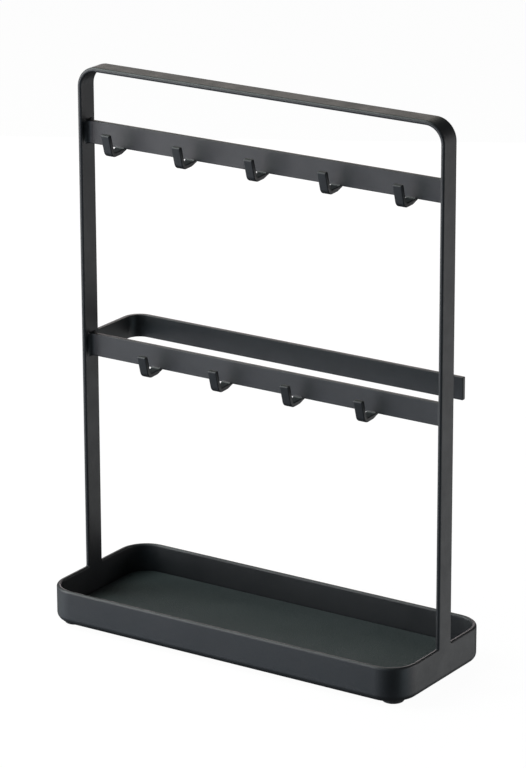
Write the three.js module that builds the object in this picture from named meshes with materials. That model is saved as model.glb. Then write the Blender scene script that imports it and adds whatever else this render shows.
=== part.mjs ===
// Hook stand with a tray: a flat-bar steel frame stands on the end walls of a
// rounded rectangular tray, two flat bars between its legs carry small bent
// hooks, and a rail bent from flat bar runs behind the lower row.
//
// Frame: millimetres, +Z up, +X to the right, -Y to the front (the side that
// the hooks point to). The origin is the centre of the footprint, on the
// surface that the feet rest on.
import * as THREE from 'three';

// ---------------------------------------------------------------- dimensions
const WIDTH = 270;            // outer width of the frame and length of the tray
const HEIGHT = 362;           // top of the frame above the resting surface

const STEEL = 3.0;            // thickness of the flat bar and of the tray wall
const FRAME_BAR = 15.0;       // width of the frame's flat bar (front to back)
const FRAME_CORNER = 14;      // outer radius of the frame's two top bends

const TRAY_DEPTH = 105;
const TRAY_CORNER = 19.5;     // plan radius of the tray's corners, outside
const TRAY_BASE_FILLET = 4.8; // outside radius between wall and underside
const TRAY_RIM = 1.2;         // rounding on both edges of the rim
const TRAY_TOP = 25.8;        // rim above the resting surface
const TRAY_FLOOR = 3.0;       // thickness of the tray's floor
const TRAY_INSIDE_FILLET = 0.8;

const FOOT_R = 7;
const FOOT_H = 2.5;
const FOOT_INSET = 14;        // foot centre from each outer side of the tray

const MAT_T = 2.0;
const MAT_GAP = 0.9;          // between the mat and the tray's inner wall
const MAT_EDGE = 0.3;         // small chamfer-like rounding on the mat's edges

const BAR_H = 15;             // height of the hook bars and of the rail
const UPPER_BAR_Z = 310.7;    // undersides above the resting surface
const LOWER_BAR_Z = 169.5;

const RAIL_FRONT_Y = 48.9;    // front face of the rail's long run
const RAIL_END_X = 116.4;     // the rail's free end
const RAIL_BEND = 12;         // outer radius of the rail's bend

const HOOK_W = 6.5;            // strip that the hooks are bent from
const HOOK_T = 3;
const UPPER_HOOK_PITCH = 53.7;
const UPPER_HOOK_SHIFT = 0.75; // middle hook of the upper row, to the right of the centre
const LOWER_HOOK_PITCH = 54;
const HOOK_REACH = 9.95;      // centreline of the bend's start, ahead of the bar's middle
const HOOK_BEND = 3.3;        // centreline radius of the bend
const HOOK_SLOPE = 2.5;       // the shelf falls forwards by this many degrees
const HOOK_LEAN = 16;         // the tip leans out from the vertical by this many degrees
const HOOK_TIP = 12.3;        // tip above the bar's underside

const CONTACT = 0.05;         // clearance at welded and resting faces

// ------------------------------------------------------------------- helpers
const root = new THREE.Group();

const steel = () => new THREE.MeshStandardMaterial({ color: 0x2b2c2e, roughness: 0.5, metalness: 0.2 });
const matSkin = () => new THREE.MeshStandardMaterial({ color: 0x2a2d2c, roughness: 0.85, metalness: 0.0 });
const rubber = () => new THREE.MeshStandardMaterial({ color: 0x161616, roughness: 0.8, metalness: 0.0 });

function add(name, geometry, material) {
  const mesh = new THREE.Mesh(geometry, material);
  mesh.name = name;
  root.add(mesh);
  return mesh;
}

// Corner arc points, from angle a0 to a1 in degrees, both ends included.
function arc(cx, cy, r, a0, a1, n) {
  const points = [];
  for (let i = 0; i <= n; i += 1) {
    const a = THREE.MathUtils.degToRad(a0 + ((a1 - a0) * i) / n);
    points.push(new THREE.Vector2(cx + r * Math.cos(a), cy + r * Math.sin(a)));
  }
  return points;
}

// Rounded rectangle outline, counter-clockwise, the same point count at every size.
function roundedRect(halfX, halfY, r, n) {
  return [
    ...arc(halfX - r, halfY - r, r, 0, 90, n),
    ...arc(-halfX + r, halfY - r, r, 90, 180, n),
    ...arc(-halfX + r, -halfY + r, r, 180, 270, n),
    ...arc(halfX - r, -halfY + r, r, 270, 360, n),
  ];
}

function extrude(points, depth) {
  return new THREE.ExtrudeGeometry(new THREE.Shape(points), { depth, bevelEnabled: false, steps: 1 });
}

// A solid from a stack of outlines with equal point counts: a flat cap on the
// first, a wall from each outline to the next, and a flat cap on the last.
function stack(rings) {
  const n = rings[0].points.length;
  const position = [];
  const index = [];
  rings.forEach(({ points, z }) => points.forEach((p) => position.push(p.x, p.y, z)));
  for (let k = 0; k + 1 < rings.length; k += 1) {
    for (let i = 0; i < n; i += 1) {
      const a = k * n + i;
      const b = k * n + ((i + 1) % n);
      index.push(a, b, b + n, a, b + n, a + n);
    }
  }
  const cap = (ring, up) => {
    THREE.ShapeUtils.triangulateShape(rings[ring].points, []).forEach(([a, b, c]) => {
      const o = ring * n;
      if (up) index.push(o + a, o + b, o + c);
      else index.push(o + a, o + c, o + b);
    });
  };
  cap(0, false);
  cap(rings.length - 1, true);
  const geometry = new THREE.BufferGeometry();
  geometry.setAttribute('position', new THREE.Float32BufferAttribute(position, 3));
  geometry.setIndex(index);
  return geometry;
}

// ---------------------------------------------------------------------- feet
for (const [side, sx] of [['left', -1], ['right', 1]]) {
  for (const [end, sy] of [['front', -1], ['rear', 1]]) {
    const foot = new THREE.CylinderGeometry(FOOT_R, FOOT_R, FOOT_H - CONTACT, 32);
    foot.rotateX(Math.PI / 2);
    const mesh = add(`foot_${end}_${side}`, foot, rubber());
    mesh.position.set(
      sx * (WIDTH / 2 - FOOT_INSET),
      sy * (TRAY_DEPTH / 2 - FOOT_INSET),
      (FOOT_H - CONTACT) / 2,
    );
  }
}

// ---------------------------------------------------------------------- tray
// Underside, base fillet, outer wall, rounded rim, inner wall, inside fillet
// and floor, as one shell that is open at the top.
{
  const corner = 6;
  const ring = (inset, z) => ({
    points: roundedRect(WIDTH / 2 - inset, TRAY_DEPTH / 2 - inset, TRAY_CORNER - inset, corner),
    z,
  });
  const rings = [];
  const base = FOOT_H;
  for (let i = 0; i <= 4; i += 1) {
    const a = (i / 4) * (Math.PI / 2);
    rings.push(ring(TRAY_BASE_FILLET * (1 - Math.sin(a)), base + TRAY_BASE_FILLET * (1 - Math.cos(a))));
  }
  for (let i = 0; i <= 3; i += 1) {
    const a = (i / 3) * (Math.PI / 2);
    rings.push(ring(TRAY_RIM * (1 - Math.cos(a)), TRAY_TOP - TRAY_RIM * (1 - Math.sin(a))));
  }
  for (let i = 0; i <= 3; i += 1) {
    const a = (i / 3) * (Math.PI / 2);
    rings.push(ring(STEEL - TRAY_RIM * (1 - Math.sin(a)), TRAY_TOP - TRAY_RIM * (1 - Math.cos(a))));
  }
  for (let i = 0; i <= 2; i += 1) {
    const a = (i / 2) * (Math.PI / 2);
    rings.push(ring(
      STEEL + TRAY_INSIDE_FILLET * (1 - Math.cos(a)),
      base + TRAY_FLOOR + TRAY_INSIDE_FILLET * (1 - Math.sin(a)),
    ));
  }
  add('tray', stack(rings), steel());
}

// ------------------------------------------------------------------ tray mat
{
  const inset = STEEL + MAT_GAP;
  const low = FOOT_H + TRAY_FLOOR + CONTACT;
  const high = FOOT_H + TRAY_FLOOR + MAT_T;
  const ring = (extra, z) => ({
    points: roundedRect(
      WIDTH / 2 - inset - extra,
      TRAY_DEPTH / 2 - inset - extra,
      TRAY_CORNER - inset - extra,
      6,
    ),
    z,
  });
  add('tray_mat', stack([
    ring(0, low),
    ring(0, high - MAT_EDGE),
    ring(MAT_EDGE, high),
  ]), matSkin());
}

// --------------------------------------------------------------------- frame
// One flat bar bent into an upside-down U. Its wide face looks sideways and
// upwards, and each leg ends on the rim over the middle of an end wall.
{
  const foot = TRAY_TOP + CONTACT;
  const outer = WIDTH / 2;
  const inner = outer - STEEL;
  const r = FRAME_CORNER;
  const n = 8;
  const outline = [
    new THREE.Vector2(outer, foot),
    ...arc(outer - r, HEIGHT - r, r, 0, 90, n),
    ...arc(-outer + r, HEIGHT - r, r, 90, 180, n),
    new THREE.Vector2(-outer, foot),
    new THREE.Vector2(-inner, foot),
    ...arc(-outer + r, HEIGHT - r, r - STEEL, 180, 90, n),
    ...arc(outer - r, HEIGHT - r, r - STEEL, 90, 0, n),
    new THREE.Vector2(inner, foot),
  ];
  const bar = extrude(outline, FRAME_BAR);
  bar.rotateX(Math.PI / 2);
  bar.translate(0, FRAME_BAR / 2, 0);
  add('frame', bar, steel());
}

// ----------------------------------------------------------------- hook bars
for (const [name, z] of [['upper_hook_bar', UPPER_BAR_Z], ['lower_hook_bar', LOWER_BAR_Z]]) {
  const length = WIDTH - 2 * STEEL - 2 * CONTACT;
  const bar = add(name, new THREE.BoxGeometry(length, STEEL, BAR_H), steel());
  bar.position.set(0, 0, z + BAR_H / 2);
}

// ----------------------------------------------------------------- rear rail
// Butts against the back edge of the left leg, runs backwards, turns once and
// runs to the right past the other leg, where it ends free.
{
  const outerX = -WIDTH / 2;
  const backY = RAIL_FRONT_Y + STEEL;
  const r = RAIL_BEND;
  const start = FRAME_BAR / 2 + CONTACT;
  const outline = [
    new THREE.Vector2(outerX, start),
    new THREE.Vector2(outerX + STEEL, start),
    ...arc(outerX + r, backY - r, r - STEEL, 180, 90, 8),
    new THREE.Vector2(RAIL_END_X, RAIL_FRONT_Y),
    new THREE.Vector2(RAIL_END_X, backY),
    ...arc(outerX + r, backY - r, r, 90, 180, 8),
  ];
  const rail = add('rear_rail', extrude(outline, BAR_H), steel());
  rail.position.z = LOWER_BAR_Z;
}

// --------------------------------------------------------------------- hooks
// Each hook is a strip that lies under its bar, comes forwards as a short
// shelf and turns up into a tongue that leans out. The outline is drawn with
// u forwards from the bar's middle and v upwards from the bar's underside.
function hookOutline() {
  const slope = THREE.MathUtils.degToRad(HOOK_SLOPE);
  const lean = THREE.MathUtils.degToRad(HOOK_LEAN);
  const h = HOOK_T / 2;
  const flat = STEEL / 2 + 1.2;
  const line = [
    { u: -STEEL / 2, v: -CONTACT - h, a: 0 },
    { u: flat, v: -CONTACT - h, a: 0 },
    { u: flat + 1.4, v: -CONTACT - h - 1.4 * Math.tan(slope / 2), a: -slope / 2 },
  ];
  const last = line[line.length - 1];
  const run = HOOK_REACH - last.u;
  let u = HOOK_REACH;
  let v = last.v - run * Math.tan(slope);
  const cu = u + HOOK_BEND * Math.sin(slope);
  const cv = v + HOOK_BEND * Math.cos(slope);
  const from = -slope;
  const to = Math.PI / 2 - lean;
  const n = 7;
  for (let i = 0; i <= n; i += 1) {
    const a = from + ((to - from) * i) / n;
    u = cu + HOOK_BEND * Math.sin(a);
    v = cv - HOOK_BEND * Math.cos(a);
    line.push({ u, v, a });
  }
  const rise = HOOK_TIP - v - h * Math.cos(to);
  line.push({ u: u + rise / Math.tan(to), v: v + rise, a: to });
  const under = line.map(({ u: x, v: y, a }) => new THREE.Vector2(x + h * Math.sin(a), y - h * Math.cos(a)));
  const over = line.map(({ u: x, v: y, a }) => new THREE.Vector2(x - h * Math.sin(a), y + h * Math.cos(a)));
  return [...under, ...over.reverse()];
}

function hook(name, x, z) {
  const strip = extrude(hookOutline(), HOOK_W);
  // u -> -Y, v -> +Z, depth -> +X after the turn
  strip.applyMatrix4(new THREE.Matrix4().set(
    0, 0, -1, HOOK_W / 2,
    -1, 0, 0, 0,
    0, 1, 0, 0,
    0, 0, 0, 1,
  ));
  add(name, strip, steel()).position.set(x, 0, z);
}
for (let i = 0; i < 5; i += 1) hook(`upper_hook_${i + 1}`, UPPER_HOOK_SHIFT + (i - 2) * UPPER_HOOK_PITCH, UPPER_BAR_Z);
for (let i = 0; i < 4; i += 1) hook(`lower_hook_${i + 1}`, (i - 1.5) * LOWER_HOOK_PITCH, LOWER_BAR_Z);

export default root;
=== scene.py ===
import math

import bpy
import bmesh
import numpy as np
from mathutils import Matrix, Vector


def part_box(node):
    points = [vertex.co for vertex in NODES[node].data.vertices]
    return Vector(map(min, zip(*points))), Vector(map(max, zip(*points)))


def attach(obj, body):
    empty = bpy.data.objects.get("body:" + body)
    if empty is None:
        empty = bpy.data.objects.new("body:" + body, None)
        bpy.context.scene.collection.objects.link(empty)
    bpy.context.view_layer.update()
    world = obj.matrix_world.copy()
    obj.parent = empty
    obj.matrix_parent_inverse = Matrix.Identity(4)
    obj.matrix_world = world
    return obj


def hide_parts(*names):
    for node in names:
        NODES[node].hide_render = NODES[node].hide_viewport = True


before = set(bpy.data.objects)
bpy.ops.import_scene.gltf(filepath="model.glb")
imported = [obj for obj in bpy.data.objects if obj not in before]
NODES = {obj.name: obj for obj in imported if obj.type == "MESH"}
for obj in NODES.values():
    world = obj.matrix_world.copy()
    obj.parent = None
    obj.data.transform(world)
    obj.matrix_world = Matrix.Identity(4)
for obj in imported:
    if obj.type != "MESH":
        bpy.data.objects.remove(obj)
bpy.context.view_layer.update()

MM = 0.001

# --------------------------------------------------------------------------
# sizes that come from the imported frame
# --------------------------------------------------------------------------
tray_lo, tray_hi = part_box("tray")
frame_lo, frame_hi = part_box("frame")
upper_lo, upper_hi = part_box("upper_hook_bar")
lower_lo, lower_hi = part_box("lower_hook_bar")
rail_lo, rail_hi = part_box("rear_rail")
mat_lo, mat_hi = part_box("tray_mat")

STEEL = upper_hi.y - upper_lo.y            # thickness of bar and tray wall
FRAME_CORNER = 14 * MM
TRAY_CORNER = 19.5 * MM
BASE_FILLET = 4.8 * MM
FLOOR_T = 3.0 * MM
RAIL_BEND = 12 * MM


# --------------------------------------------------------------------------
# mesh code
# --------------------------------------------------------------------------
def link(name, bm, smooth_angle=50.0, weighted=True):
    bmesh.ops.recalc_face_normals(bm, faces=bm.faces)
    mesh = bpy.data.meshes.new(name)
    bm.to_mesh(mesh)
    bm.free()
    for p in mesh.polygons:
        p.use_smooth = True
    mesh.set_sharp_from_angle(angle=math.radians(smooth_angle))
    obj = bpy.data.objects.new(name, mesh)
    bpy.context.scene.collection.objects.link(obj)
    if weighted:
        m = obj.modifiers.new("face_weighted_normals", "WEIGHTED_NORMAL")
        m.mode = "FACE_AREA"
        m.weight = 100
        m.keep_sharp = True
    return obj


def rounded_section(w, t, r, n=4):
    """Closed outline of a rounded rectangle, w along the first axis and t along the second."""
    pts = []
    for cx, cy, a0 in (
        (w / 2 - r, t / 2 - r, 0),
        (-w / 2 + r, t / 2 - r, 90),
        (-w / 2 + r, -t / 2 + r, 180),
        (w / 2 - r, -t / 2 + r, 270),
    ):
        for i in range(n + 1):
            a = math.radians(a0 + 90 * i / n)
            pts.append((cx + r * math.cos(a), cy + r * math.sin(a)))
    return pts


def sweep(stations, start_round=0.0, end_round=0.0, n_round=4):
    """Skin over stations of (point, axis a, axis b, tangent, section points).

    start_round and end_round are the radii of the rounding at the two ends."""
    bm = bmesh.new()

    def ring(p, a, b, t, sec, inset=0.0, push=0.0):
        out = []
        ws = max(abs(x) for x, _ in sec)
        hs = max(abs(y) for _, y in sec)
        for x, y in sec:
            fx = (ws - inset) / ws
            fy = (hs - inset) / hs
            out.append(bm.verts.new(p + a * (x * fx) + b * (y * fy) + t * push))
        return out

    rings = []
    p, a, b, t, sec = stations[0]
    if start_round > 0:
        for i in range(n_round):
            th = math.pi / 2 * i / n_round
            rings.append(ring(p, a, b, t, sec, start_round * (1 - math.sin(th)), start_round * (1 - math.cos(th))))
        rings.append(ring(p, a, b, t, sec, 0, start_round))
        body = stations[1:]
    else:
        body = stations
    if end_round > 0:
        body, last = body[:-1], body[-1]
    for p, a, b, t, sec in body:
        rings.append(ring(p, a, b, t, sec))
    if end_round > 0:
        p, a, b, t, sec = last
        rings.append(ring(p, a, b, t, sec, 0, -end_round))
        for i in range(1, n_round + 1):
            th = math.pi / 2 * i / n_round
            rings.append(ring(p, a, b, t, sec, end_round * (1 - math.cos(th)), -end_round * (1 - math.sin(th))))
    for r0, r1 in zip(rings, rings[1:]):
        n = len(r0)
        for i in range(n):
            bm.faces.new((r0[i], r0[(i + 1) % n], r1[(i + 1) % n], r1[i]))
    bm.faces.new(list(reversed(rings[0])))
    bm.faces.new(rings[-1])
    return bm


def ring_stack(rings):
    """Skin over rings of equal point count, with a flat cap on the first and the last."""
    bm = bmesh.new()
    loops = [[bm.verts.new(v) for v in ring] for ring in rings]
    for r0, r1 in zip(loops, loops[1:]):
        n = len(r0)
        for i in range(n):
            bm.faces.new((r0[i], r0[(i + 1) % n], r1[(i + 1) % n], r1[i]))
    bm.faces.new(list(reversed(loops[0])))
    bm.faces.new(loops[-1])
    return bm


def plan(hx, hy, r, z, corner=16, run=6):
    """Rounded rectangle in plan, with points along its straight sides too."""
    pts = []
    cs = (
        (hx - r, hy - r, 0),
        (-hx + r, hy - r, 90),
        (-hx + r, -hy + r, 180),
        (hx - r, -hy + r, 270),
    )
    for k, (cx, cy, a0) in enumerate(cs):
        arc = []
        for i in range(corner + 1):
            a = math.radians(a0 + 90 * i / corner)
            arc.append(Vector((cx + r * math.cos(a), cy + r * math.sin(a), z)))
        pts += arc
        nx, ny, na = cs[(k + 1) % 4]
        a = math.radians(na)
        nxt = Vector((nx + r * math.cos(a), ny + r * math.sin(a), z))
        for i in range(1, run):
            pts.append(arc[-1].lerp(nxt, i / run))
    return pts


X, Y, Z = Vector((1, 0, 0)), Vector((0, 1, 0)), Vector((0, 0, 1))


# --------------------------------------------------------------------------
# materials
# --------------------------------------------------------------------------
def material(name):
    m = bpy.data.materials.new(name)
    m.use_nodes = True
    nt = m.node_tree
    nt.nodes.clear()
    out = nt.nodes.new("ShaderNodeOutputMaterial")
    bsdf = nt.nodes.new("ShaderNodeBsdfPrincipled")
    nt.links.new(bsdf.outputs[0], out.inputs[0])
    return m, nt, bsdf


def node(nt, kind, **kw):
    n = nt.nodes.new(kind)
    for k, v in kw.items():
        if k in n.inputs:
            n.inputs[k].default_value = v
        else:
            setattr(n, k, v)
    return n


def ramp(nt, fac, stops):
    r = nt.nodes.new("ShaderNodeValToRGB")
    cr = r.color_ramp
    while len(cr.elements) < len(stops):
        cr.elements.new(0.5)
    for e, (pos, col) in zip(cr.elements, stops):
        e.position = pos
        e.color = (*col, 1) if len(col) == 3 else col
    nt.links.new(fac, r.inputs[0])
    return r.outputs[0]


def maprange(nt, val, a, b, c, d):
    m = nt.nodes.new("ShaderNodeMapRange")
    m.inputs["From Min"].default_value = a
    m.inputs["From Max"].default_value = b
    m.inputs["To Min"].default_value = c
    m.inputs["To Max"].default_value = d
    nt.links.new(val, m.inputs["Value"])
    return m.outputs["Result"]


def powder_coat():
    """Satin black powder coat: fine orange peel and a slightly cloudy gloss."""
    m, nt, b = material("coated_steel_satin")
    tc = node(nt, "ShaderNodeTexCoord")
    obj = tc.outputs["Object"]
    # colour: near black with a very soft cloudiness
    cloud = node(nt, "ShaderNodeTexNoise", Scale=34.0, Detail=4.0, Roughness=0.6)
    nt.links.new(obj, cloud.inputs["Vector"])
    speck = node(nt, "ShaderNodeTexNoise", Scale=2600.0, Detail=2.0, Roughness=0.7)
    nt.links.new(obj, speck.inputs["Vector"])
    base = ramp(nt, cloud.outputs["Fac"], [(0.30, (0.0086, 0.0106, 0.0122)), (0.72, (0.0132, 0.0152, 0.0174))])
    mix = nt.nodes.new("ShaderNodeMix")
    mix.data_type = "RGBA"
    mix.blend_type = "MULTIPLY"
    mix.inputs[0].default_value = 1.0
    nt.links.new(base, mix.inputs[6])
    nt.links.new(ramp(nt, speck.outputs["Fac"], [(0.35, (0.86, 0.86, 0.86)), (0.68, (1.12, 1.12, 1.12))]), mix.inputs[7])
    nt.links.new(mix.outputs[2], b.inputs["Base Color"])
    # gloss: cloudy, between satin and matte
    rough_n = node(nt, "ShaderNodeTexNoise", Scale=70.0, Detail=5.0, Roughness=0.65)
    nt.links.new(obj, rough_n.inputs["Vector"])
    nt.links.new(maprange(nt, rough_n.outputs["Fac"], 0.3, 0.7, 0.43, 0.54), b.inputs["Roughness"])
    # orange peel and the fine sand of the coat
    peel = node(nt, "ShaderNodeTexNoise", Scale=620.0, Detail=2.0, Roughness=0.55)
    nt.links.new(obj, peel.inputs["Vector"])
    sand = node(nt, "ShaderNodeTexNoise", Scale=3400.0, Detail=2.0, Roughness=0.6)
    nt.links.new(obj, sand.inputs["Vector"])
    b1 = node(nt, "ShaderNodeBump", Strength=0.55, Distance=0.00006)
    b2 = node(nt, "ShaderNodeBump", Strength=0.45, Distance=0.00002)
    nt.links.new(peel.outputs["Fac"], b1.inputs["Height"])
    nt.links.new(sand.outputs["Fac"], b2.inputs["Height"])
    nt.links.new(b1.outputs[0], b2.inputs["Normal"])
    nt.links.new(b2.outputs[0], b.inputs["Normal"])
    b.inputs["Metallic"].default_value = 0.0
    b.inputs["IOR"].default_value = 1.5
    b.inputs["Specular IOR Level"].default_value = 0.5
    return m


def mat_skin():
    """Matte dark grey-green sheet with a fine pebbled grain, its creases darkened with painted shade."""
    m, nt, b = material("tray_mat_sheet")
    tc = node(nt, "ShaderNodeTexCoord")
    obj = tc.outputs["Object"]
    cloud = node(nt, "ShaderNodeTexNoise", Scale=22.0, Detail=5.0, Roughness=0.62)
    nt.links.new(obj, cloud.inputs["Vector"])
    base = ramp(nt, cloud.outputs["Fac"], [(0.30, (0.0070, 0.0115, 0.0118)), (0.72, (0.0175, 0.0228, 0.0232))])
    pebble = node(nt, "ShaderNodeTexVoronoi", Scale=900.0)
    pebble.feature = "DISTANCE_TO_EDGE"
    warp = node(nt, "ShaderNodeTexNoise", Scale=420.0, Detail=2.0)
    nt.links.new(obj, warp.inputs["Vector"])
    add = nt.nodes.new("ShaderNodeVectorMath")
    add.operation = "MULTIPLY_ADD"
    add.inputs[1].default_value = (0.0012, 0.0012, 0.0012)
    nt.links.new(warp.outputs["Color"], add.inputs[0])
    nt.links.new(obj, add.inputs[2])
    nt.links.new(add.outputs[0], pebble.inputs["Vector"])
    crease_shade_and_height = maprange(nt, pebble.outputs["Distance"], 0.0, 0.16, 0.0, 1.0)
    # painted shade: the base colour is darkened in the creases between the pebbles and a touch lighter on their
    # crowns
    mix = nt.nodes.new("ShaderNodeMix")
    mix.data_type = "RGBA"
    mix.blend_type = "MULTIPLY"
    mix.inputs[0].default_value = 1.0
    nt.links.new(base, mix.inputs[6])
    nt.links.new(ramp(nt, crease_shade_and_height, [(0.0, (0.70, 0.70, 0.70)), (0.8, (1.08, 1.08, 1.08))]), mix.inputs[7])
    nt.links.new(mix.outputs[2], b.inputs["Base Color"])
    fine = node(nt, "ShaderNodeTexNoise", Scale=2400.0, Detail=3.0)
    nt.links.new(obj, fine.inputs["Vector"])
    nt.links.new(maprange(nt, fine.outputs["Fac"], 0.3, 0.7, 0.66, 0.80), b.inputs["Roughness"])
    b1 = node(nt, "ShaderNodeBump", Strength=0.7, Distance=0.00012)
    b2 = node(nt, "ShaderNodeBump", Strength=0.5, Distance=0.00003)
    nt.links.new(crease_shade_and_height, b1.inputs["Height"])
    nt.links.new(fine.outputs["Fac"], b2.inputs["Height"])
    nt.links.new(b1.outputs[0], b2.inputs["Normal"])
    nt.links.new(b2.outputs[0], b.inputs["Normal"])
    b.inputs["Specular IOR Level"].default_value = 0.43
    b.inputs["Specular Tint"].default_value = (0.80, 1.0, 1.02, 1.0)
    b.inputs["Sheen Weight"].default_value = 0.06
    b.inputs["Sheen Roughness"].default_value = 0.5
    return m


def rubber_skin():
    m, nt, b = material("foot_rubber_matte")
    tc = node(nt, "ShaderNodeTexCoord")
    obj = tc.outputs["Object"]
    n = node(nt, "ShaderNodeTexNoise", Scale=900.0, Detail=4.0, Roughness=0.6)
    nt.links.new(obj, n.inputs["Vector"])
    nt.links.new(ramp(nt, n.outputs["Fac"], [(0.3, (0.013, 0.013, 0.013)), (0.7, (0.022, 0.022, 0.022))]), b.inputs["Base Color"])
    nt.links.new(maprange(nt, n.outputs["Fac"], 0.3, 0.7, 0.72, 0.88), b.inputs["Roughness"])
    b1 = node(nt, "ShaderNodeBump", Strength=0.5, Distance=0.00004)
    nt.links.new(n.outputs["Fac"], b1.inputs["Height"])
    nt.links.new(b1.outputs[0], b.inputs["Normal"])
    return m


COAT = powder_coat()
MAT = mat_skin()
RUBBER = rubber_skin()


def piece(obj, mat, body, slot, *replaced):
    obj.data.materials.clear()
    obj.data.materials.append(mat)
    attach(obj, body)
    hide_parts(*replaced)
    return obj


# --------------------------------------------------------------------------
# tray
# --------------------------------------------------------------------------
def build_tray():
    hx, hy = tray_hi.x, tray_hi.y
    low, top = tray_lo.z, tray_hi.z
    rim = STEEL / 2 - 0.05 * MM
    inside = 1.1 * MM
    rings = []

    def add(inset, z):
        rings.append(plan(hx - inset, hy - inset, TRAY_CORNER - inset, z))

    # underside: a shallow set-down that keeps the flat off the table
    add(22 * MM * 0.55, low + 0.5 * MM)
    add(9.4 * MM, low + 0.5 * MM)
    add(8.6 * MM, low + 0.35 * MM)
    add(8.0 * MM, low)
    for i in range(0, 9):
        a = i / 8 * math.pi / 2
        add(BASE_FILLET * (1 - math.sin(a)), low + BASE_FILLET * (1 - math.cos(a)))
    add(0, top - rim - 6 * MM)
    for i in range(0, 7):
        a = i / 6 * math.pi / 2
        add(rim * (1 - math.cos(a)), top - rim * (1 - math.sin(a)))
    for i in range(0, 7):
        a = i / 6 * math.pi / 2
        add(STEEL - rim * (1 - math.sin(a)), top - rim * (1 - math.cos(a)))
    floor = low + FLOOR_T
    add(STEEL, floor + inside + 5 * MM)
    for i in range(0, 6):
        a = i / 5 * math.pi / 2
        add(STEEL + inside * (1 - math.cos(a)), floor + inside * (1 - math.sin(a)))
    add(STEEL + 5 * MM, floor)
    return link("tray_shell", ring_stack(rings), 60)


# --------------------------------------------------------------------------
# frame: one flat bar bent into an upside-down U, its ends run into the rim
# --------------------------------------------------------------------------
def build_frame():
    w = frame_hi.y - frame_lo.y
    outer = frame_hi.x
    top = frame_hi.z
    rim_z = tray_hi.z
    edge = 1.44 * MM
    t = STEEL
    r = FRAME_CORNER - t / 2
    line = []

    def section(grow=0.0, shrink=0.0, e=edge):
        return rounded_section(w + 2 * grow - 2 * shrink, t - 2 * shrink, min(e, t / 2 - shrink - 0.01 * MM), 7)

    def leg(side):
        """Stations of one leg from below the rim upwards: (z, grow, shrink)."""
        rows = [
            (rim_z - 4.0 * MM, 0.7 * MM, 0.06 * MM),
            (rim_z - 1.9 * MM, 0.7 * MM, 0.06 * MM),
            (rim_z - 1.3 * MM, 0.7 * MM, 0.012 * MM),
            (rim_z - 0.35 * MM, 0.7 * MM, 0.0),
        ]
        f = 0.7 * MM
        for i in range(1, 7):
            a = i / 6 * math.pi / 2
            rows.append((rim_z - 0.35 * MM + f * math.sin(a), f * (1 - math.sin(a)) if i == 0 else f * (1 - math.sqrt(max(0.0, 1 - (1 - math.sin(a)) ** 2))), 0.0))
        return rows

    # left leg upwards, bend, across, bend, right leg downwards
    xl = -(outer - t / 2)
    st = []
    # section axes: a along Y (width), b along the outward normal
    for z, grow, shrink in leg(-1):
        st.append((Vector((xl, 0, z)), Y, -X, Z, section(grow, shrink)))
    for k in range(1, 12):
        z = rim_z + 3 * MM + (top - FRAME_CORNER - rim_z - 3 * MM) * k / 12
        st.append((Vector((xl, 0, z)), Y, -X, Z, section()))
    n = 20
    for i in range(n + 1):
        a = math.pi - i / n * math.pi / 2
        c = Vector((-(outer - FRAME_CORNER), 0, top - FRAME_CORNER))
        d = Vector((math.cos(a), 0, math.sin(a)))
        st.append((c + d * r, Y, d, Vector((-d.z, 0, d.x)), section()))
    for k in range(1, 12):
        x = -(outer - FRAME_CORNER) + 2 * (outer - FRAME_CORNER) * k / 12
        st.append((Vector((x, 0, top - t / 2)), Y, Z, X, section()))
    for i in range(n + 1):
        a = math.pi / 2 - i / n * math.pi / 2
        c = Vector((outer - FRAME_CORNER, 0, top - FRAME_CORNER))
        d = Vector((math.cos(a), 0, math.sin(a)))
        st.append((c + d * r, Y, d, Vector((-d.z, 0, d.x)), section()))
    for k in range(11, 0, -1):
        z = rim_z + 3 * MM + (top - FRAME_CORNER - rim_z - 3 * MM) * k / 12
        st.append((Vector((-xl, 0, z)), Y, X, -Z, section()))
    for z, grow, shrink in reversed(leg(1)):
        st.append((Vector((-xl, 0, z)), Y, X, -Z, section(grow, shrink)))
    return link("frame_bar", sweep(st), 60)


# --------------------------------------------------------------------------
# hook bars, each with a small weld bead round its two ends
# --------------------------------------------------------------------------
def build_bar(name, lo, hi):
    h, t = hi.z - lo.z, hi.y - lo.y
    mid = (lo + hi) / 2
    half = (hi.x - lo.x) / 2 + 0.3 * MM
    edge = 0.6 * MM
    f = 3.8 * MM
    st = []

    def sec(grow):
        return rounded_section(h + 0.36 * grow, t + 2 * grow, min(edge + grow, 1.6 * MM), 5)

    def station(x, grow):
        st.append((Vector((x, mid.y, mid.z)), Z, -Y, X, sec(grow)))

    station(-half, f)
    for i in range(0, 11):
        a = i / 10 * math.pi / 2
        station(-half + 0.3 * MM + f * (1 - math.cos(a)), f * (1 - math.sin(a)))
    for k in range(1, 24):
        station(-half + 5 * MM + (2 * half - 10 * MM) * k / 24, 0)
    for i in range(10, -1, -1):
        a = i / 10 * math.pi / 2
        station(half - 0.3 * MM - f * (1 - math.cos(a)), f * (1 - math.sin(a)))
    station(half, f)
    return link(name, sweep(st), 60)


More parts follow.
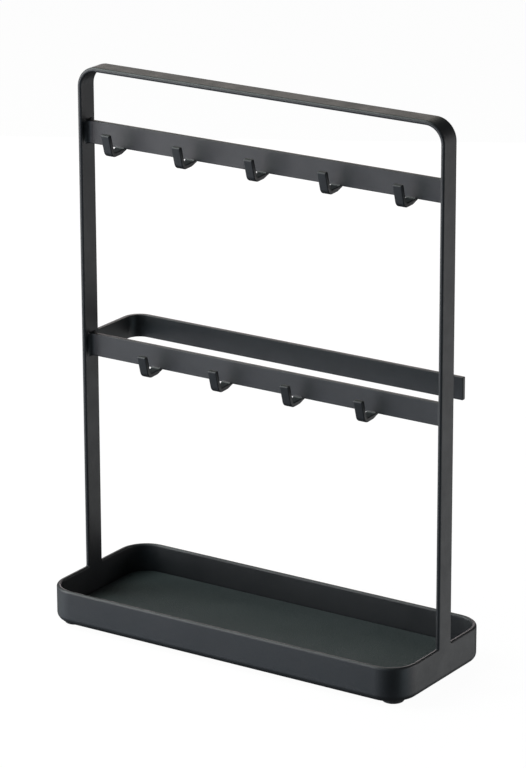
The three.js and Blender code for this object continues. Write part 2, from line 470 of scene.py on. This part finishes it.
# --------------------------------------------------------------------------
# rear rail
# --------------------------------------------------------------------------
def build_rail():
    h = rail_hi.z - rail_lo.z
    t = STEEL
    zc = (rail_lo.z + rail_hi.z) / 2
    back = rail_hi.y - t / 2
    xl = rail_lo.x + t / 2
    r = RAIL_BEND - t / 2
    edge = 0.5 * MM
    sec = rounded_section(h, t, edge, 4)
    f = 0.6 * MM
    st = []
    y0 = frame_hi.y - 1.7 * MM

    def grown(g):
        return rounded_section(h + 2 * g, t, edge, 4)

    # from the leg's rear edge backwards; b is the outward side
    st.append((Vector((xl, y0, zc)), Z, -X, Y, grown(f)))
    for i in range(0, 6):
        a = i / 5 * math.pi / 2
        st.append((Vector((xl, y0 + 1.7 * MM + f * (1 - math.cos(a)), zc)), Z, -X, Y, grown(f * (1 - math.sin(a)))))
    for k in range(1, 5):
        st.append((Vector((xl, y0 + 3 * MM + (back - r - y0 - 3 * MM) * k / 5, zc)), Z, -X, Y, sec))
    n = 18
    cx, cy = rail_lo.x + RAIL_BEND, rail_hi.y - RAIL_BEND
    for i in range(n + 1):
        a = math.pi - i / n * math.pi / 2
        d = Vector((math.cos(a), math.sin(a), 0))
        st.append((Vector((cx, cy, zc)) + d * r, Z, d, Vector((-d.y, d.x, 0)) * -1, sec))
    for k in range(1, 24):
        x = cx + (rail_hi.x - cx) * k / 24
        st.append((Vector((x, back, zc)), Z, Y, X, sec))
    st.append((Vector((rail_hi.x, back, zc)), Z, Y, X, sec))
    return link("rear_rail_bar", sweep(st, end_round=0.5 * MM), 60)


# --------------------------------------------------------------------------
# hooks: a strip under the bar, bent up into a leaning tongue
# --------------------------------------------------------------------------
def build_hook(node_name, bar_lo, bar_hi):
    lo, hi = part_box(node_name)
    w = hi.x - lo.x
    x = (lo.x + hi.x) / 2
    t = 3.0 * MM
    under = bar_lo.z
    slope = math.radians(2.5)
    lean = math.radians(16)
    bend = 3.3 * MM
    h = t / 2
    flat = bar_hi.y + 1.2 * MM
    reach = 9.95 * MM
    edge = 0.75 * MM
    line = [(bar_lo.y - 0.1 * MM + (flat - bar_lo.y + 0.1 * MM) * k / 4, -0.03 * MM - h, 0.0) for k in range(5)]
    for i in range(1, 4):
        k = i / 3
        line.append((flat + 1.4 * MM * k, -0.03 * MM - h - 1.4 * MM * k * math.tan(slope / 2) * k, -slope * k))
    lu, lv, _ = line[-1]
    for k in (0.25, 0.5, 0.75, 1.0):
        line.append((lu + (reach - lu) * k, lv - (reach - lu) * k * math.tan(slope), -slope))
    u, v, _ = line[-1]
    cu, cv = u + bend * math.sin(slope), v + bend * math.cos(slope)
    to = math.pi / 2 - lean
    n = 16
    for i in range(1, n + 1):
        a = -slope + (to + slope) * i / n
        line.append((cu + bend * math.sin(a), cv - bend * math.cos(a), a))
    u, v, _ = line[-1]
    tip = hi.z - under
    rise = tip - v - h * math.cos(to)
    for k in (0.35, 0.7, 1.0):
        line.append((u + rise * k / math.tan(to), v + rise * k, to))
    st = []
    for u, v, a in line:
        # the strip thins towards the bar's rear, where the weld runs out
        k = min(1.0, max(0.0, (u + 1.6 * MM) / (6.2 * MM)))
        thick = t - 1.5 * MM * (1 - k * k * (3 - 2 * k)) if a <= 0 else t
        v += (t - thick) / 2
        sec = rounded_section(w, thick, min(edge, thick / 2 - 0.05 * MM), 5)
        # u runs forwards (-Y), v upwards; tangent and the upper side's normal
        tangent = Vector((0, -math.cos(a), math.sin(a)))
        normal = Vector((0, math.sin(a), math.cos(a)))
        st.append((Vector((x, -u, under + v)), X, normal, tangent, sec))
    bm = sweep(st, start_round=0.6 * MM, end_round=0.75 * MM)
    # fillet of weld in the angle between the strip's upper side and the bar's front
    bead = 1.3 * MM
    wide = w + 0.6 * MM
    front = bar_lo.y
    top = under - 0.03 * MM
    prof = [(front + 0.2 * MM, top - 0.2 * MM), (front + 0.2 * MM, top + bead)]
    for i in range(0, 7):
        a = i / 6 * math.pi / 2
        prof.append((front - bead * (1 - math.cos(a)), top + bead * (1 - math.sin(a))))
    prof.append((front - bead, top - 0.2 * MM))
    loops = []
    for dx, k in ((-wide / 2, 0.55), (-wide / 2 + 0.15 * MM, 0.8), (-wide / 2 + 0.5 * MM, 1.0), (wide / 2 - 0.5 * MM, 1.0), (wide / 2 - 0.15 * MM, 0.8), (wide / 2, 0.55)):
        loops.append([bm.verts.new(Vector((x + dx, front + 0.2 * MM + (y - front - 0.2 * MM) * k, top - 0.2 * MM + (z - top + 0.2 * MM) * k))) for y, z in prof])
    for r0, r1 in zip(loops, loops[1:]):
        m = len(r0)
        for i in range(m):
            bm.faces.new((r0[i], r0[(i + 1) % m], r1[(i + 1) % m], r1[i]))
    bm.faces.new(list(reversed(loops[0])))
    bm.faces.new(loops[-1])
    return link(node_name + "_strip", bm, 60)


# --------------------------------------------------------------------------
# mat and feet
# --------------------------------------------------------------------------
def build_mat():
    hx, hy = mat_hi.x, mat_hi.y
    r = TRAY_CORNER - (tray_hi.x - mat_hi.x)
    e = 0.55 * MM
    rings = [plan(hx - 0.4 * MM, hy - 0.4 * MM, r - 0.4 * MM, mat_lo.z)]
    rings.append(plan(hx, hy, r, mat_lo.z + 0.3 * MM))
    for i in range(0, 6):
        a = i / 5 * math.pi / 2
        rings.append(plan(hx - e * (1 - math.cos(a)), hy - e * (1 - math.cos(a)), r - e * (1 - math.cos(a)), mat_hi.z - e * (1 - math.sin(a))))
    rings.append(plan(hx - 6 * MM, hy - 6 * MM, r - 6 * MM, mat_hi.z))
    return link("tray_mat_sheet", ring_stack(rings), 60)


def build_foot(node_name):
    lo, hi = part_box(node_name)
    c = (lo + hi) / 2
    R = (hi.x - lo.x) / 2
    rings = []
    rows = [(R - 2.2 * MM, 0.35 * MM), (R - 1.7 * MM, 0.0)]
    for i in range(0, 6):
        a = i / 5 * math.pi / 2
        rows.append((R - 0.8 * MM * (1 - math.sin(a)), 0.8 * MM * (1 - math.cos(a))))
    rows.append((R, (hi.z - lo.z) - 0.3 * MM))
    rows.append((R - 0.3 * MM, hi.z - lo.z))
    for rad, z in rows:
        rings.append([Vector((c.x + rad * math.cos(2 * math.pi * i / 64), c.y + rad * math.sin(2 * math.pi * i / 64), lo.z + z)) for i in range(64)])
    return link(node_name + "_pad", ring_stack(rings), 60)


piece(build_tray(), COAT, "stand", "coated_steel", "tray")
piece(build_frame(), COAT, "stand", "coated_steel", "frame")
piece(build_bar("upper_hook_bar_flat", upper_lo, upper_hi), COAT, "stand", "coated_steel", "upper_hook_bar")
piece(build_bar("lower_hook_bar_flat", lower_lo, lower_hi), COAT, "stand", "coated_steel", "lower_hook_bar")
piece(build_rail(), COAT, "stand", "coated_steel", "rear_rail")
for i in range(1, 6):
    n = f"upper_hook_{i}"
    piece(build_hook(n, upper_lo, upper_hi), COAT, "stand", "coated_steel", n)
for i in range(1, 5):
    n = f"lower_hook_{i}"
    piece(build_hook(n, lower_lo, lower_hi), COAT, "stand", "coated_steel", n)
piece(build_mat(), MAT, "mat", "mat_sheet", "tray_mat")
for n in ("foot_front_left", "foot_rear_left", "foot_front_right", "foot_rear_right"):
    piece(build_foot(n), RUBBER, "stand", "foot_rubber", n)


# --------------------------------------------------------------------------
# stage, light and camera
# --------------------------------------------------------------------------
def build_stage():
    bm = bmesh.new()
    n = 96
    ring = [bm.verts.new((14 * math.cos(2 * math.pi * i / n), 14 * math.sin(2 * math.pi * i / n), -0.0002)) for i in range(n)]
    bm.faces.new(ring)
    floor = link("studio_floor", bm, 30, weighted=False)
    m, nt, b = material("studio_floor_pale")
    tc = node(nt, "ShaderNodeTexCoord")
    nz = node(nt, "ShaderNodeTexNoise", Scale=3.0, Detail=3.0)
    nt.links.new(tc.outputs["Object"], nz.inputs["Vector"])
    nt.links.new(ramp(nt, nz.outputs["Fac"], [(0.3, (0.030, 0.030, 0.030)), (0.7, (0.034, 0.034, 0.034))]), b.inputs["Base Color"])
    b.inputs["Roughness"].default_value = 0.9
    b.inputs["Specular IOR Level"].default_value = 0.1
    b.inputs["Emission Color"].default_value = (1, 1, 1, 1)
    b.inputs["Emission Strength"].default_value = 0.97
    floor.data.materials.append(m)
    # the floor stays out of the object's reflections, as with a cut-out product shot
    floor.visible_glossy = False
    floor.visible_diffuse = False
    floor.visible_shadow = False


def area(name, loc, target, size, energy, color=(1, 1, 1), size_y=None):
    d = bpy.data.lights.new(name, "AREA")
    d.shape = "RECTANGLE" if size_y else "SQUARE"
    d.size = size
    if size_y:
        d.size_y = size_y
    d.energy = energy
    d.color = color
    o = bpy.data.objects.new(name, d)
    bpy.context.scene.collection.objects.link(o)
    o.location = loc
    o.rotation_mode = "QUATERNION"
    o.rotation_quaternion = (Vector(target) - Vector(loc)).to_track_quat("-Z", "Y")
    o.visible_camera = False
    return o


def build_light():
    w = bpy.data.worlds.new("studio_air")
    bpy.context.scene.world = w
    w.use_nodes = True
    nt = w.node_tree
    nt.nodes.clear()
    out = nt.nodes.new("ShaderNodeOutputWorld")
    bg = nt.nodes.new("ShaderNodeBackground")
    nt.links.new(bg.outputs[0], out.inputs[0])
    bg.inputs[0].default_value = (1.0, 0.99, 0.98, 1)
    bg.inputs[1].default_value = AIR
    for name, turn, z0, z1, radiance, color in PANELS:
        a = math.radians(turn)
        wide = 2 * PANEL_RING * math.tan(math.radians(15))
        tall = z1 - z0
        loc = Vector((math.sin(a), -math.cos(a), 0)) * PANEL_RING + Vector((0, 0, (z0 + z1) / 2))
        area(name, loc, (0, 0, loc.z), wide, radiance * math.pi * wide * tall, color, tall)
    for name, loc, sx, sy, radiance, color in OVERHEAD:
        area(name, loc, (0, 0, 0.15), sx, radiance * math.pi * sx * sy, color, sy)


# A ring of soft panels round the object, some of them below the level of the
# table top so that upright faces mirror something pale: (name, degrees round
# from the front, lower and upper edge in metres, radiance, colour).
AIR = 0.060
PANEL_RING = 1.25
PANELS = (
    ("panel_000_middle", 0, -0.1, 0.5, 1.614, (0.818, 1.017, 1.165)),
    ("panel_090_low", 90, -0.75, -0.1, 1.259, (0.818, 1.034, 1.148)),
    ("panel_120_middle", 120, -0.1, 0.5, 2.95, (1.02, 0.985, 0.995)),
    ("panel_120_low", 120, -0.75, -0.1, 1.200, (1.03, 0.99, 0.99)),
    ("panel_150_low", 150, -0.75, -0.1, 0.850, (0.97, 1.01, 1.02)),
    ("panel_210_high", 210, 0.5, 1.4, 0.984, (1.086, 1.01, 0.904)),
    ("panel_210_middle", 210, -0.1, 0.5, 2.358, (1.079, 0.936, 0.986)),
    ("panel_270_low", -90, -0.75, -0.1, 0.572, (0.917, 1.022, 1.061)),
    ("panel_300_high", -60, 0.5, 1.4, 6.000, (0.972, 1.014, 1.014)),
    ("panel_300_low", -60, -0.75, -0.1, 0.822, (0.834, 0.976, 1.19)),
    ("panel_300_middle", -60, -0.1, 0.5, 6.000, (1.0, 1.0, 1.0)),
    ("panel_330_low", -30, -0.75, -0.1, 0.780, (0.82, 1.012, 1.168)),
    ("panel_330_middle", -30, -0.1, 0.5, 3.025, (1.028, 0.95, 1.022)),
)

# one more panel above, to the left: (name, place, size, radiance, colour)
OVERHEAD = (
    ("panel_top_left", (-0.9, -0.3, 1.5), 1.0, 1.2, 5.208, (0.951, 1.05, 0.999)),
)


def build_camera():
    d = bpy.data.cameras.new("camera")
    d.sensor_width = 36
    d.sensor_fit = "AUTO"
    d.lens = 188.764
    d.shift_x = 0.0
    d.shift_y = 0.0
    d.clip_start = 0.1
    d.clip_end = 60
    d.dof.use_dof = False
    o = bpy.data.objects.new("camera", d)
    bpy.context.scene.collection.objects.link(o)
    right = Vector((0.834054182, 0.551672799, -0.003277847))
    up = Vector((-0.170421171, 0.263295468, 0.949543112))
    back = Vector((0.524700148, -0.791411789, 0.313619411))
    m = Matrix((right, up, back)).transposed().to_4x4()
    m.translation = Vector((1.324969421, -1.998608695, 0.965046107))
    o.matrix_world = m
    bpy.context.scene.camera = o


build_stage()
build_light()
build_camera()
bpy.context.scene.view_settings.view_transform = "Standard"
